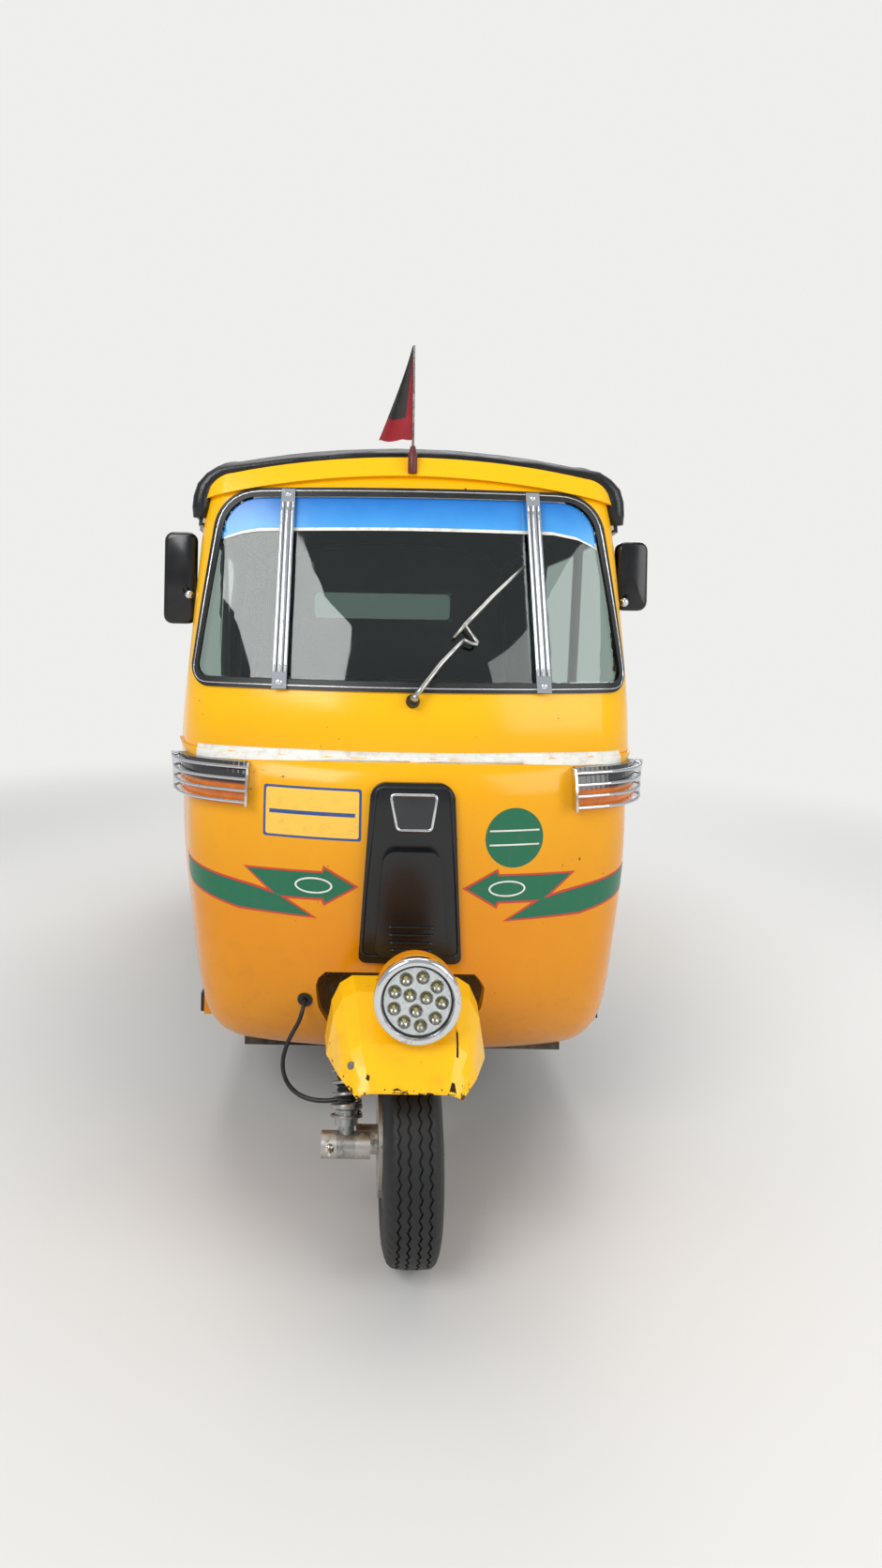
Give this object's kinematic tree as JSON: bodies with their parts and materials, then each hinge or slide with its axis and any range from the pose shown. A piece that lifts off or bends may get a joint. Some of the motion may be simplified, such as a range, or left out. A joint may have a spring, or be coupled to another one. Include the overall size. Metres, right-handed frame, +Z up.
{
  "type": "auto rickshaw",
  "caption": "Three-wheeled passenger taxi with a sheet-steel nose, curved windscreen, folding-fabric hood, open doorways, bench seat and rear engine bay.",
  "frame": {"origin": "on the ground, under the middle of the overall length and width", "axes": "+X to the vehicle's left, +Y to the rear, +Z up; it faces -Y"},
  "size_m": [1.308, 2.635, 1.9059],
  "materials": {
    "yellow_paint": "gloss, chipped",
    "nose_black": "satin black moulding",
    "grey_paint": "satin",
    "black_paint": "satin",
    "amber_lens": "clear amber",
    "red_lens": "clear red",
    "chrome": "polished, dulled",
    "aluminium": "brushed, grooved",
    "steel": "worn",
    "rusty_steel": "rust-stained",
    "cast_iron": "rough",
    "rubber": "dull",
    "tyre": "worn",
    "glass": "clear, slightly green",
    "hood_vinyl": "glossy black vinyl",
    "seat_vinyl": "black vinyl",
    "floor_mat": "ribbed",
    "mirror_black": "gloss",
    "flag_cloth": "dark cloth"
  },
  "bodies": {
    "chassis": {"nose_shell": "yellow_paint", "wheel_well": "yellow_paint", "windscreen_frame": "yellow_paint", "windscreen_seal": "rubber", "windscreen_glass": "glass", "roof_visor": "yellow_paint", "nose_panel": "nose_black", "indicator_lamps": "amber_lens", "indicator_guards": "chrome", "screen_bars": "aluminium", "wiper": "steel", "mirrors": "mirror_black", "floor_pan": "floor_mat", "side_sills": "yellow_paint", "sill_rubbers": "rubber", "dash_shelf": "nose_black", "steering_head": "black_paint", "cable_grommet": "rubber", "brake_cable": "rubber", "hood": "hood_vinyl", "rear_window": "glass", "hood_frame": "black_paint", "door_pillars": "black_paint", "driver_seat_base": "black_paint", "driver_seat": "seat_vinyl", "driver_backrest": "seat_vinyl", "passenger_bench": "seat_vinyl", "passenger_backrest": "seat_vinyl", "rear_body": "yellow_paint", "bench_frame": "black_paint", "wheel_housings": "black_paint", "rear_chassis": "black_paint", "engine_block": "cast_iron", "silencer": "rusty_steel", "trailing_arms": "cast_iron", "half_shafts": "steel", "rear_springs": "steel", "tail_lamps": "red_lens", "rear_bumper": "black_paint", "flag": "flag_cloth"},
    "steering": {"steering_column": "steel", "front_spring": "steel", "front_link": "rusty_steel", "front_mudguard": "yellow_paint", "headlamp_bowl": "yellow_paint", "headlamp": "chrome", "handlebar": "black_paint", "handle_grips": "rubber", "instrument_nacelle": "nose_black"},
    "front_wheel": {"front_tyre": "tyre", "front_rim": "grey_paint"},
    "rear_left_wheel": {"rear_left_tyre": "tyre", "rear_left_rim": "grey_paint"},
    "rear_right_wheel": {"rear_right_tyre": "tyre", "rear_right_rim": "grey_paint"},
    "engine_lid": {"engine_lid": "yellow_paint"}
  },
  "joints": [
    {"name": "steering", "type": "hinge", "parent": "chassis", "child": "steering", "pos_m": [0, -1.1605, 0.205], "axis": [0, 0.4067, 0.9135], "range_deg": [-42, 42], "deforming": ["brake_cable"]},
    {"name": "front_wheel_spin", "type": "hinge", "parent": "steering", "child": "front_wheel", "pos_m": [0, -1.1025, 0.205], "axis": [1, 0, 0], "continuous": true},
    {"name": "rear_left_wheel_spin", "type": "hinge", "parent": "chassis", "child": "rear_left_wheel", "pos_m": [0.575, 0.8975, 0.205], "axis": [1, 0, 0], "continuous": true},
    {"name": "rear_right_wheel_spin", "type": "hinge", "parent": "chassis", "child": "rear_right_wheel", "pos_m": [-0.575, 0.8975, 0.205], "axis": [1, 0, 0], "continuous": true},
    {"name": "engine_lid_hinge", "type": "hinge", "parent": "chassis", "child": "engine_lid", "pos_m": [0, 1.2755, 0.824], "axis": [1, 0, 0], "range_deg": [0, 75]}
  ]
}
